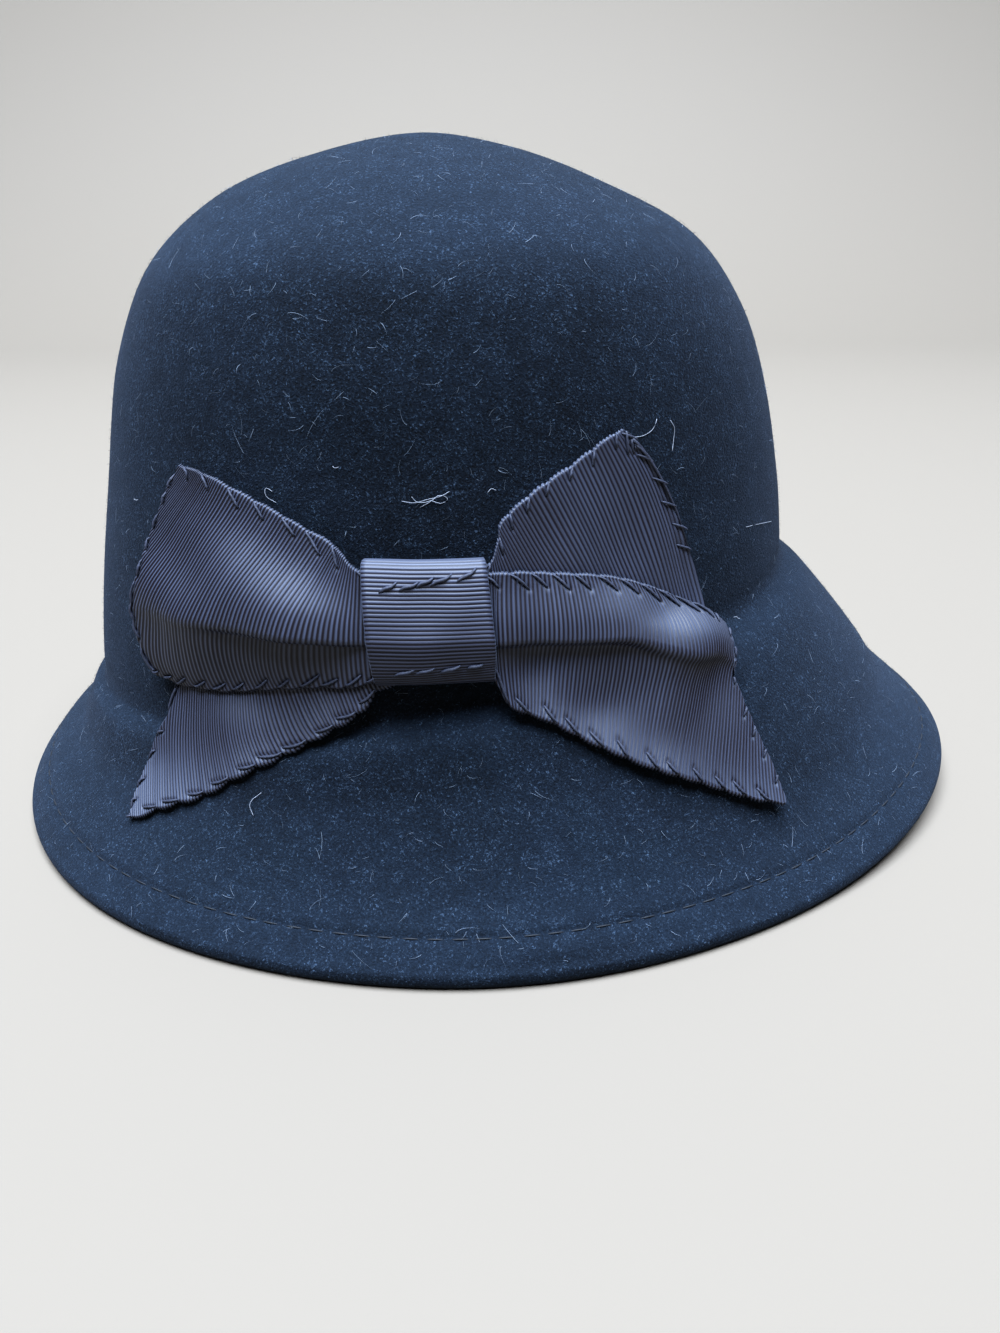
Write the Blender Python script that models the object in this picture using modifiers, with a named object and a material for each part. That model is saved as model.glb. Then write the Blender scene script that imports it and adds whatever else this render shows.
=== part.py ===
# Cloche hat of charcoal wool felt with a flat crossed bow of grosgrain ribbon.
# Metres, +Z up. +X is the front of the hat, -Y its right side, which carries the bow.
# The origin is the middle of the footprint, on the surface that the brim rests on.
import math

import bmesh
import bpy
import numpy as np
from mathutils import Vector
from mathutils.bvhtree import BVHTree

# Felt body
crown_half_length = 0.1015    # outside, at the turn from crown to brim
crown_half_width = 0.0845
hat_height = 0.1733
turn_height = 0.0491          # height of that turn at the sides
turn_rise = 0.0165            # how much higher it is at the front, and lower at the back
front_brim = 0.0537           # how far the brim stands out past the crown
side_brim = 0.0372
back_brim = 0.0222
front_corner = -0.0060        # what it gains half way round from the front to the side
back_corner = 0.0041
side_sweep = 0.0083           # what it gains just in front of the side, and loses just behind it
front_lift = 0.0065           # the edge's clearance over the surface at the front and the back
back_lift = 0.0018
felt_thickness = 0.0025
hem_thickness = 0.0050        # the edge is turned under and sewn, so it is double
hem_depth = 0.0120

# Bow
knot_x = -0.0126
knot_z = 0.0716
knot_width = 0.0255
knot_height = 0.0282
knot_depth = 0.0068
knot_lean = 0.0020            # the knot's top leans this far to the back
knot_corner = 0.5             # power that squares the tube's cross section: 1 is an ellipse
knot_slack = 0.0009           # room in the tube behind the two ribbons
bow_reach = 0.0840            # from the knot's middle to the furthest ribbon tip, along X
ribbon_width = 0.0520
ribbon_thickness = 0.0009
puff_height = 0.0070          # how far the pleat of the upper ribbon stands off
puff_crowding = 1.5           # power that moves the pleat's crest towards the fold line
puff_below_fold = 0.15        # share of the pleat's height that the ribbon has below the fold line
bridge_length = 0.0065        # the ribbon is stiff enough to span hollows this long each way
drape_slack = 0.0005          # the ribbons lie this much looser on the felt than the clearance
clearance = 0.0003

# Colours, linear
felt_color = (0.010, 0.013, 0.020)
ribbon_color = (0.030, 0.029, 0.042)
knot_color = (0.036, 0.036, 0.050)
felt_roughness = 0.95
ribbon_roughness = 0.75

# Mesh fineness
felt_segments = 64
brim_rings = 7                # rings from the turn to where the hem starts
hem_rings = 3                 # rings across the hem
ribbon_rows_per_section = 2
ribbon_columns = 12
knot_ring_points = 24
knot_columns = 6

fine_samples = 8              # steps to a section in the curve that the brim's rings are read from
sharp_degrees = 60            # edges sharper than this are shaded as creases

crown_middle_x = (back_brim - front_brim) / 2

# Sections of the crown from its top down to the turn.
# height: share of the way from the turn to the top.
# front, back: reach as shares of the crown's half length.
# samples: steps from this section to the next.
crown_sections = [
    dict(height=1.00, front=0.000, back=0.000, samples=2),
    dict(height=0.97, front=0.215, back=0.255, samples=2),
    dict(height=0.90, front=0.440, back=0.525, samples=2),
    dict(height=0.78, front=0.693, back=0.720, samples=2),
    dict(height=0.62, front=0.826, back=0.825, samples=2),
    dict(height=0.42, front=0.909, back=0.891, samples=2),
    dict(height=0.20, front=0.967, back=0.955, samples=1),
    dict(height=0.05, front=0.992, back=0.989, samples=1),
    dict(height=0.00, front=1.000, back=1.000, samples=0),
]

# Sections of the brim from the turn down to the edge, at the front, side and back.
# out: share of the brim's reach there. drop: share of its fall from the turn to the edge.
brim_sections = [
    dict(front_out=0.15, front_drop=0.12, side_out=0.15, side_drop=0.12, back_out=0.15, back_drop=0.12),
    dict(front_out=0.52, front_drop=0.54, side_out=0.35, side_drop=0.39, back_out=0.32, back_drop=0.42),
    dict(front_out=0.65, front_drop=0.71, side_out=0.70, side_drop=0.77, back_out=0.74, back_drop=0.74),
    dict(front_out=1.00, front_drop=1.00, side_out=1.00, side_drop=1.00, back_out=1.00, back_drop=1.00),
]

# The rounded edge of the hem: directions round it in degrees above level, from the outside in.
# The last two lie at one height, which is the narrow flat that the hat rests on.
hem_directions = [10, -30, -65, -115]
hem_top_direction = 52
hem_flat_direction = -65
hem_step = 0.0012             # length of the step where the turned-under felt ends
lift_start = 0.62             # cosine of the angle from which the edge lifts towards the front and back

# Sections of the two ribbons from their back ends to their front ends.
# x: share of bow_reach from the knot. z: share of ribbon_width from the knot.
# top, mid, low: the ribbon's upper edge, its fold line and its lower edge.
# puff: share of puff_height that the pleat above the fold line stands off.
upper_sections = [
    dict(top_x=-0.680, top_z=0.570, mid_x=-0.775, mid_z=-0.080, low_x=-0.765, low_z=-0.430, puff=0.50),
    dict(top_x=-0.550, top_z=0.540, mid_x=-0.600, mid_z=-0.080, low_x=-0.615, low_z=-0.405, puff=0.60),
    dict(top_x=-0.410, top_z=0.450, mid_x=-0.410, mid_z=-0.090, low_x=-0.410, low_z=-0.345, puff=0.55),
    dict(top_x=-0.270, top_z=0.345, mid_x=-0.270, mid_z=-0.090, low_x=-0.270, low_z=-0.320, puff=0.38),
    dict(top_x=-0.200, top_z=0.265, mid_x=-0.200, mid_z=-0.080, low_x=-0.200, low_z=-0.300, puff=0.20),
    dict(top_x=-0.165, top_z=0.200, mid_x=-0.165, mid_z=-0.070, low_x=-0.165, low_z=-0.200, puff=0.12),
    dict(top_x=0.000, top_z=0.190, mid_x=0.000, mid_z=-0.070, low_x=0.000, low_z=-0.190, puff=0.08),
    dict(top_x=0.165, top_z=0.195, mid_x=0.165, mid_z=-0.090, low_x=0.165, low_z=-0.200, puff=0.12),
    dict(top_x=0.200, top_z=0.200, mid_x=0.200, mid_z=-0.100, low_x=0.195, low_z=-0.360, puff=0.20),
    dict(top_x=0.330, top_z=0.190, mid_x=0.330, mid_z=-0.130, low_x=0.310, low_z=-0.480, puff=0.45),
    dict(top_x=0.480, top_z=0.120, mid_x=0.500, mid_z=-0.190, low_x=0.510, low_z=-0.630, puff=0.70),
    dict(top_x=0.610, top_z=0.020, mid_x=0.650, mid_z=-0.300, low_x=0.740, low_z=-0.785, puff=0.85),
    dict(top_x=0.755, top_z=-0.140, mid_x=0.805, mid_z=-0.410, low_x=0.985, low_z=-0.980, puff=0.75),
]
under_sections = [
    dict(top_x=-0.740, top_z=-0.120, mid_x=-0.800, mid_z=-0.560, low_x=-0.910, low_z=-1.035, puff=0.00),
    dict(top_x=-0.600, top_z=-0.040, mid_x=-0.670, mid_z=-0.460, low_x=-0.730, low_z=-0.905, puff=0.00),
    dict(top_x=-0.420, top_z=0.060, mid_x=-0.450, mid_z=-0.320, low_x=-0.480, low_z=-0.690, puff=0.00),
    dict(top_x=-0.260, top_z=0.130, mid_x=-0.260, mid_z=-0.160, low_x=-0.260, low_z=-0.460, puff=0.00),
    dict(top_x=-0.200, top_z=0.160, mid_x=-0.200, mid_z=-0.080, low_x=-0.200, low_z=-0.370, puff=0.00),
    dict(top_x=-0.165, top_z=0.170, mid_x=-0.165, mid_z=-0.020, low_x=-0.165, low_z=-0.200, puff=0.00),
    dict(top_x=0.000, top_z=0.190, mid_x=0.000, mid_z=0.010, low_x=0.000, low_z=-0.180, puff=0.00),
    dict(top_x=0.155, top_z=0.200, mid_x=0.165, mid_z=0.050, low_x=0.165, low_z=-0.150, puff=0.00),
    dict(top_x=0.195, top_z=0.380, mid_x=0.240, mid_z=0.140, low_x=0.270, low_z=-0.140, puff=0.00),
    dict(top_x=0.340, top_z=0.565, mid_x=0.400, mid_z=0.200, low_x=0.450, low_z=-0.150, puff=0.00),
    dict(top_x=0.520, top_z=0.735, mid_x=0.685, mid_z=0.260, low_x=0.760, low_z=-0.200, puff=0.00),
]


def smooth_through(rows, before, after, samples):
    """A smooth curve through the rows, as arrays of like shape: a centripetal Catmull-Rom spline."""
    points = [before] + list(rows) + [after]
    result = [points[1]]
    for index, count in enumerate(samples):
        p0, p1, p2, p3 = points[index:index + 4]
        step0 = np.sqrt(np.linalg.norm(p1 - p0, axis=-1, keepdims=True))
        step1 = np.sqrt(np.linalg.norm(p2 - p1, axis=-1, keepdims=True))
        step2 = np.sqrt(np.linalg.norm(p3 - p2, axis=-1, keepdims=True))
        slope1 = (p2 - p1) + step1 * ((p1 - p0) / step0 - (p2 - p0) / (step0 + step1))
        slope2 = (p2 - p1) + step1 * ((p3 - p2) / step2 - (p3 - p1) / (step1 + step2))
        for number in range(1, count + 1):
            t = number / count
            result.append((2 * t ** 3 - 3 * t ** 2 + 1) * p1 + (t ** 3 - 2 * t ** 2 + t) * slope1
                          + (3 * t ** 2 - 2 * t ** 3) * p2 + (t ** 3 - t ** 2) * slope2)
    return np.array(result)


def plan(angle):
    """Cosine, sine and outward direction of the crown's oval at each angle."""
    cosine, sine = np.cos(angle), np.sin(angle)
    outward = np.stack([cosine / crown_half_length, sine / crown_half_width], -1)
    outward /= np.linalg.norm(outward, axis=-1, keepdims=True)
    return cosine, sine, outward


def edge_reach_and_lift(cosine, sine):
    """How far the brim's edge stands out from the turn, and its height over the surface."""
    ahead = cosine > 0
    reach = (side_brim + side_sweep * cosine) * sine ** 2
    reach += np.where(ahead, front_brim, back_brim) * cosine ** 2
    reach += np.where(ahead, front_corner, back_corner) * (2 * sine * cosine) ** 2
    rise = np.clip((np.abs(cosine) - lift_start) / (1 - lift_start), 0, 1) ** 2
    lift = np.where(ahead, front_lift, back_lift) * rise
    return reach, lift


def hem_point(direction, reach, lift):
    """Distance out and height of a point on the hem's rounded edge."""
    radius = hem_thickness / 2
    out = reach - radius + radius * math.cos(math.radians(direction))
    up = lift + radius * (math.sin(math.radians(direction)) - math.sin(math.radians(hem_flat_direction)))
    return out, up


def brim_point(out, up, cosine, sine, outward):
    """A point that stands out from the oval at the turn, at the height up."""
    return np.stack([crown_middle_x + crown_half_length * cosine + out * outward[:, 0],
                     crown_half_width * sine + out * outward[:, 1],
                     up + 0 * cosine], -1)


def outer_rings(angle):
    """Rings of the outer skin from the top to the hem: the sections, and smooth curves through them."""
    cosine, sine, outward = plan(angle)
    turn = turn_height + turn_rise * cosine
    forward = 0.5 + 0.5 * cosine
    rows = []
    for section in crown_sections:
        reach = section["front"] * forward + section["back"] * (1 - forward)
        height = turn + section["height"] * (hat_height - turn)
        rows.append(np.stack([crown_middle_x + reach * crown_half_length * cosine,
                              reach * crown_half_width * sine, height], -1))
    front, side, back = np.clip(cosine, 0, 1) ** 2, sine ** 2, np.clip(-cosine, 0, 1) ** 2
    reach, lift = edge_reach_and_lift(cosine, sine)
    edge_out, edge_up = hem_point(hem_top_direction, reach, lift)
    for section in brim_sections:
        out = section["front_out"] * front + section["side_out"] * side + section["back_out"] * back
        drop = section["front_drop"] * front + section["side_drop"] * side + section["back_drop"] * back
        rows.append(brim_point(out * edge_out, turn - drop * (turn - edge_up), cosine, sine, outward))
    over_the_top = np.roll(rows[1], len(angle) // 2, axis=0)
    past_the_edge = 2 * rows[-1] - rows[-2]
    turn_row = len(crown_sections) - 1
    samples = [section["samples"] for section in crown_sections[:-1]]
    crown = smooth_through(rows[:turn_row + 1], over_the_top, rows[turn_row + 1], samples)
    samples = [fine_samples] * len(brim_sections)
    brim = smooth_through(rows[turn_row:], rows[turn_row - 1], past_the_edge, samples)
    return np.concatenate([crown, even_rings(brim)])


def even_rings(fine):
    """Rings of the brim below the turn: evenly spaced to the hem, then evenly across the hem's depth."""
    steps = np.linalg.norm(np.diff(fine, axis=0), axis=-1)
    travelled = np.concatenate([np.zeros((1, fine.shape[1])), np.cumsum(steps, axis=0)])
    hem_length = hem_depth - hem_thickness / 2
    result = np.empty((brim_rings + hem_rings, *fine.shape[1:]))
    for i in range(fine.shape[1]):
        hem_start = travelled[-1, i] - hem_length
        stops = np.concatenate([np.linspace(0, hem_start, brim_rings + 1)[1:],
                                hem_start + np.linspace(0, hem_length, hem_rings + 1)[1:]])
        for axis in range(3):
            result[:, i, axis] = np.interp(stops, travelled[:, i], fine[:, i, axis])
    return result


def outward_normals(rings):
    """Normals of a grid of rings that run from the top down, by central differences."""
    along = np.roll(rings, -1, axis=1) - np.roll(rings, 1, axis=1)
    down = np.gradient(rings, axis=0)
    normals = np.cross(down, along)
    lengths = np.linalg.norm(normals, axis=-1, keepdims=True)
    normals = normals / np.where(lengths > 0, lengths, 1)
    normals[0] = (0, 0, 1)
    return normals


def link_mesh(name, bm, collection, color, roughness):
    """Finish a mesh as a smooth-shaded object with its own material."""
    bmesh.ops.recalc_face_normals(bm, faces=bm.faces)
    mesh = bpy.data.meshes.new(name)
    bm.to_mesh(mesh)
    bm.free()
    mesh.shade_smooth()
    mesh.set_sharp_from_angle(angle=math.radians(sharp_degrees))
    material = bpy.data.materials.new(name)
    material.use_nodes = True
    shader = material.node_tree.nodes["Principled BSDF"]
    shader.inputs["Base Color"].default_value = (*color, 1)
    shader.inputs["Roughness"].default_value = roughness
    shader.inputs["Metallic"].default_value = 0
    mesh.materials.append(material)
    thing = bpy.data.objects.new(name, mesh)
    collection.objects.link(thing)
    return thing


def loft(rings, closed_round=True):
    """A surface through rings of like length, open at its first and last ring."""
    bm = bmesh.new()
    made = [[bm.verts.new(point) for point in ring] for ring in rings]
    count = len(rings[0])
    last = count if closed_round else count - 1
    for upper, lower in zip(made, made[1:]):
        for i in range(last):
            j = (i + 1) % count
            bm.faces.new((upper[i], lower[i], lower[j], upper[j]))
    return bm, made


def close_with_pole(bm, ring, point):
    """Close the end of a loft with a fan of triangles to one point."""
    pole = bm.verts.new(point)
    for i in range(len(ring)):
        bm.faces.new((ring[i], ring[(i + 1) % len(ring)], pole))


def make_felt_body(collection):
    """Crown, brim and hem as one closed wall: outer skin, round the hem, and back up inside."""
    angle = np.linspace(0, 2 * math.pi, felt_segments, endpoint=False)
    cosine, sine, outward = plan(angle)
    outer = outer_rings(angle)
    normals = outward_normals(outer)
    reach, lift = edge_reach_and_lift(cosine, sine)
    hem = []
    for direction in hem_directions:
        out, up = hem_point(direction, reach, lift)
        hem.append(brim_point(out, up, cosine, sine, outward))
    hem_start = len(outer) - 1 - hem_rings
    inner_hem = [outer[i] - hem_thickness * normals[i] for i in range(len(outer) - 2, hem_start - 1, -1)]
    up_slope = outer[hem_start - 1] - outer[hem_start]
    up_slope /= np.linalg.norm(up_slope, axis=-1, keepdims=True)
    step = outer[hem_start] + hem_step * up_slope - felt_thickness * normals[hem_start]
    inner = [outer[i] - felt_thickness * normals[i] for i in range(hem_start - 1, 0, -1)]
    bm, made = loft([*outer[1:], *hem, *inner_hem, step, *inner])
    close_with_pole(bm, made[0], outer[0, 0])
    close_with_pole(bm, made[-1], outer[0, 0] - felt_thickness * normals[0, 0])
    link_mesh("felt_body", bm, collection, felt_color, felt_roughness)


class Wall:
    """The felt's outer skin as the bow meets it: places on its right side from X and Z."""

    def __init__(self):
        angle = np.linspace(0, 2 * math.pi, felt_segments, endpoint=False)
        rings = outer_rings(angle)
        points = [Vector(point) for point in rings.reshape(-1, 3)]
        faces = []
        for ring in range(len(rings) - 1):
            for i in range(felt_segments):
                j = (i + 1) % felt_segments
                first, second = ring * felt_segments, (ring + 1) * felt_segments
                faces.append((first + i, second + i, second + j, first + j))
        self.tree = BVHTree.FromPolygons(points, faces)

    def depth(self, x, z):
        """Y of the skin at this X and Z, or of its nearest point where it has none."""
        hit = self.tree.ray_cast(Vector((x, -1, z)), Vector((0, 1, 0)))[0]
        if hit is None:
            hit = self.tree.find_nearest(Vector((x, -crown_half_width - side_brim, z)))[0]
        return hit.y

    def bridged(self, x, z):
        """The skin, with the hollow at the crown's turn bridged as a stiff ribbon bridges it."""
        above, below = self.depth(x, z + bridge_length), self.depth(x, z - bridge_length)
        return min(self.depth(x, z), (above + below) / 2)

    def place(self, along, up, lift):
        """A point beside the knot's middle, lifted off the felt along its normal."""
        x, z = knot_x + along, knot_z + up
        step = bridge_length / 2
        slope_x = (self.bridged(x + step, z) - self.bridged(x - step, z)) / (2 * step)
        slope_z = (self.bridged(x, z + step) - self.bridged(x, z - step)) / (2 * step)
        normal = Vector((slope_x, -1, slope_z)).normalized()
        return Vector((x, self.bridged(x, z), z)) + float(lift) * normal


def solidify(thing, offset):
    """Give an open sheet the ribbon's thickness, outwards for an offset of 1 and inwards for -1."""
    wall = thing.modifiers.new("thickness", "SOLIDIFY")
    wall.thickness = ribbon_thickness
    wall.offset = offset
    wall.use_even_offset = True


def lift_over_knot_back(along):
    """How far both ribbons stand off the felt: clear of the knot's back wall, and down at the ends."""
    flat = knot_width / 2
    fade = min(max((abs(along) - flat) / flat, 0), 1)
    raised = ribbon_thickness + knot_slack
    return clearance + drape_slack + raised * (1 - fade * fade * (3 - 2 * fade))


def make_ribbon(name, wall, collection, sections, stack):
    """One strip of ribbon: a curve through its sections, draped over the felt, with a pleat."""
    table = np.array([[row["top_x"], row["top_z"], row["mid_x"], row["mid_z"], row["low_x"], row["low_z"],
                       row["puff"]] for row in sections])
    table[:, 0:6:2] *= bow_reach
    table[:, 1:6:2] *= ribbon_width
    table[:, 6] *= puff_height
    samples = [ribbon_rows_per_section] * (len(table) - 1)
    rows = smooth_through(table, 2 * table[0] - table[1], 2 * table[-1] - table[-2], samples)
    grid = []
    for top_x, top_z, mid_x, mid_z, low_x, low_z, puff in rows:
        line = []
        for column in range(ribbon_columns + 1):
            t = column / ribbon_columns
            top, mid, low = (1 - t) * (1 - 2 * t), 4 * t * (1 - t), t * (2 * t - 1)
            along = top * top_x + mid * mid_x + low * low_x
            up = top * top_z + mid * mid_z + low * low_z
            if t < 0.5:
                ridge = math.sin(math.pi * (2 * t) ** puff_crowding)
            else:
                ridge = puff_below_fold * math.sin(math.pi * (2 * t - 1))
            lift = lift_over_knot_back(along) + stack + puff * ridge
            line.append(wall.place(along, up, lift))
        grid.append(line)
    bm = loft(grid, closed_round=False)[0]
    ribbon = link_mesh(name, bm, collection, ribbon_color, ribbon_roughness)
    solidify(ribbon, 1)


def make_knot(wall, collection):
    """The band round both ribbons: a flattened tube whose back lies on the felt."""
    columns = []
    for column in range(knot_columns + 1):
        along = (column / knot_columns - 0.5) * knot_width
        ring = []
        for index in range(knot_ring_points):
            turn = 2 * math.pi * index / knot_ring_points
            round_up, round_out = math.sin(turn), math.cos(turn)
            up = math.copysign(abs(round_up) ** knot_corner, round_up) * knot_height / 2
            out = math.copysign(abs(round_out) ** knot_corner, round_out) * knot_depth / 2
            lean = knot_lean * up / knot_height
            ring.append(wall.place(along - lean, up, clearance + knot_depth / 2 + out))
        columns.append(ring)
    bm = loft(columns)[0]
    knot = link_mesh("bow_knot", bm, collection, knot_color, ribbon_roughness)
    solidify(knot, -1)


def main():
    for thing in list(bpy.data.objects):
        bpy.data.objects.remove(thing, do_unlink=True)
    collection = bpy.data.collections.new("cloche_hat")
    bpy.context.scene.collection.children.link(collection)
    make_felt_body(collection)
    wall = Wall()
    make_ribbon("bow_under_ribbon", wall, collection, under_sections, 0)
    make_ribbon("bow_upper_ribbon", wall, collection, upper_sections, ribbon_thickness + clearance)
    make_knot(wall, collection)


main()
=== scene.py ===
# Looks of a cloche hat: brushed wool felt, and a flat bow of grosgrain ribbon sewn on by hand.
# Metres, +Z up. +X is the front of the hat, -Y its right side, which carries the bow.
import math

import bpy
import numpy as np
from mathutils import Matrix


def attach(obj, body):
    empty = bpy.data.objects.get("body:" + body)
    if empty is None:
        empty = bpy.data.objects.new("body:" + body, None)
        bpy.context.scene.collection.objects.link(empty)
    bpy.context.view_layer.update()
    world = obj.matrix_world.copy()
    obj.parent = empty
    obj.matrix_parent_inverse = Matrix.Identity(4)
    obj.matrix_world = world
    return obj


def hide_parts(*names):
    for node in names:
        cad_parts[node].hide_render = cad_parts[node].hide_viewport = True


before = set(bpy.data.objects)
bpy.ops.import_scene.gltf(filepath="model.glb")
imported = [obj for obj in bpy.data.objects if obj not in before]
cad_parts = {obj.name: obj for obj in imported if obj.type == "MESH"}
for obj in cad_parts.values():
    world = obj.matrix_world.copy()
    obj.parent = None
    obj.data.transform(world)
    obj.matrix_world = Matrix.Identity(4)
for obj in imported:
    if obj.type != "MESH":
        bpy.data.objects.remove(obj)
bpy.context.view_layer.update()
mm = 0.001
print("frame loaded")


# Shared tools

def smoothStep(value):
    value = np.clip(value, 0, 1)
    return value * value * (3 - 2 * value)


def unit(vectors):
    # Each vector over its own length
    return vectors / np.maximum(np.linalg.norm(vectors, axis=-1, keepdims=True), 1e-12)


def curveThrough(rows, before, after, samples):
    # Centripetal Catmull-Rom spline: cubic pieces through the rows, each slope from the chords beside it
    # weighted by the square roots of their lengths
    points = [before, *rows, after]
    pieces = [np.array(points[1])[None]]
    for p0, p1, p2, p3, count in zip(points, points[1:], points[2:], points[3:], samples):
        step0 = np.sqrt(np.linalg.norm(p1 - p0, axis=-1, keepdims=True))
        step1 = np.sqrt(np.linalg.norm(p2 - p1, axis=-1, keepdims=True))
        step2 = np.sqrt(np.linalg.norm(p3 - p2, axis=-1, keepdims=True))
        slope1 = (p2 - p1) + step1 * ((p1 - p0) / step0 - (p2 - p0) / (step0 + step1))
        slope2 = (p2 - p1) + step1 * ((p3 - p2) / step2 - (p3 - p1) / (step1 + step2))
        t = (np.arange(1, count + 1) / count).reshape(-1, *[1] * p1.ndim)
        pieces.append((2 * t ** 3 - 3 * t ** 2 + 1) * p1 + (t ** 3 - 2 * t ** 2 + t) * slope1
                      + (3 * t ** 2 - 2 * t ** 3) * p2 + (t ** 3 - t ** 2) * slope2)
    return np.concatenate(pieces)


def softNoise(points, size, seed, waves=14):
    # Sum of sine waves in random directions, each about one size long, so about -1 to 1
    random = np.random.default_rng(seed)
    directions = unit(random.normal(size=(waves, 3))) * random.uniform(0.6, 1.5, (waves, 1))
    phases = random.uniform(0, 2 * math.pi, waves)
    return np.sin(points @ (directions.T * 2 * math.pi / size) + phases).sum(-1) / math.sqrt(waves)


def gridNormals(grid, closedRound=False):
    # Cross product of the central differences down and along the grid
    down = np.gradient(grid, axis=0)
    if closedRound:
        along = np.roll(grid, -1, axis=1) - np.roll(grid, 1, axis=1)
    else:
        along = np.gradient(grid, axis=1)
    return unit(np.cross(down, along))


def gridQuads(rows, columns, closedRound):
    # Corners of every cell of a grid whose points are numbered row by row
    row, column = np.meshgrid(np.arange(rows - 1), np.arange(columns if closedRound else columns - 1), indexing="ij")
    right = (column + 1) % columns
    corners = [row * columns + column, (row + 1) * columns + column, (row + 1) * columns + right, row * columns + right]
    return np.stack(corners, -1).reshape(-1, 4)


def readGrid(grid, row, column):
    # Bilinear reading of a grid at fractional rows and columns
    row = np.clip(row, 0, grid.shape[0] - 1.001)
    column = np.clip(column, 0, grid.shape[1] - 1.001)
    i, j = row.astype(int), column.astype(int)
    a, b = row - i, column - j
    extra = (1,) * (grid.ndim - 2)
    a, b = a.reshape(*a.shape, *extra), b.reshape(*b.shape, *extra)
    return ((1 - a) * ((1 - b) * grid[i, j] + b * grid[i, j + 1])
            + a * ((1 - b) * grid[i + 1, j] + b * grid[i + 1, j + 1]))


def makePiece(name, points, faces, material, stretch=None):
    # Smooth-shaded mesh object; stretch gives each point, or each face corner, a place on the cloth in metres,
    # which is kept as the UV map
    mesh = bpy.data.meshes.new(name)
    mesh.from_pydata(points.reshape(-1, 3).tolist(), [], faces)
    mesh.shade_smooth()
    if stretch is not None:
        stretch = stretch.reshape(-1, 2)
        if len(stretch) == len(mesh.vertices):
            corner = np.empty(len(mesh.loops), np.int32)
            mesh.loops.foreach_get("vertex_index", corner)
            stretch = stretch[corner]
        uv = mesh.uv_layers.new(name="cloth")
        uv.data.foreach_set("uv", stretch.astype(np.float32).ravel())
    mesh.materials.append(material)
    piece = bpy.data.objects.new(name, mesh)
    bpy.context.scene.collection.objects.link(piece)
    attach(piece, "root")
    return piece


def tubes(paths, radius, sides):
    # Round tubes along many paths at once: paths is tubes x stations x 3, radius is tubes x stations
    along = unit(np.gradient(paths, axis=1))
    helper = np.where(np.abs(along[..., 2:]) < 0.8, (0.0, 0.0, 1.0), (1.0, 0.0, 0.0))
    first = unit(np.cross(along, helper))
    second = np.cross(along, first)
    turn = np.arange(sides) * 2 * math.pi / sides
    ring = (np.cos(turn)[:, None] * first[:, :, None, :] + np.sin(turn)[:, None] * second[:, :, None, :])
    points = paths[:, :, None, :] + radius[:, :, None, None] * ring
    count, stations = paths.shape[:2]
    wall = gridQuads(stations, sides, True)[:, ::-1]
    first, last = np.arange(sides)[::-1], (stations - 1) * sides + np.arange(sides)
    faces = []
    for index in range(count):
        start = index * stations * sides
        faces += (wall + start).tolist() + [(first + start).tolist(), (last + start).tolist()]
    return points, faces


# Materials

def linearColor(hexText):
    # sRGB hex to linear light
    channels = np.array([int(hexText[i:i + 2], 16) for i in (1, 3, 5)]) / 255
    linear = np.where(channels <= 0.04045, channels / 12.92, ((channels + 0.055) / 1.055) ** 2.4)
    return (*linear, 1.0)


def addNode(tree, kind, settings=None, inputs=None):
    # One node with its settings, and its inputs as constants or as links from sockets
    node = tree.nodes.new(kind)
    for name, value in (settings or {}).items():
        setattr(node, name, value)
    for name, value in (inputs or {}).items():
        if isinstance(value, bpy.types.NodeSocket):
            tree.links.new(value, node.inputs[name])
        else:
            node.inputs[name].default_value = value
    return node


def newMaterial(name):
    material = bpy.data.materials.new(name)
    material.use_nodes = True
    return material, material.node_tree, material.node_tree.nodes["Principled BSDF"]


def paintTopLight(tree, color, topLightColor, most):
    # Painted light: cloth that faces up is mixed towards a pale colour, as if lit from above; the share of it follows
    # the height of the cloth's own normal
    facing = addNode(tree, "ShaderNodeTexCoord").outputs["Normal"]
    axes = addNode(tree, "ShaderNodeSeparateXYZ", None, {"Vector": facing})
    share = addNode(tree, "ShaderNodeMapRange", {"interpolation_type": "SMOOTHSTEP"},
                    {"Value": axes.outputs["Z"], "From Min": 0.4, "From Max": 0.75, "To Max": most})
    return addNode(tree, "ShaderNodeMix", {"data_type": "RGBA"},
                   {"Factor": share.outputs["Result"], "A": color, "B": linearColor(topLightColor)}).outputs["Result"]


# The pale colour mixed into felt that faces up, and its largest share, are painted light from above
feltLook = dict(
    deep="#04070b", middle="#121b25", fleck="#5c7085", topLightColor="#5f7690", topLightMost=0.036,
    grainMm=0.5, fleckMm=0.5, clumpMm=5.0, mottleMm=38.0,
)


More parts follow.
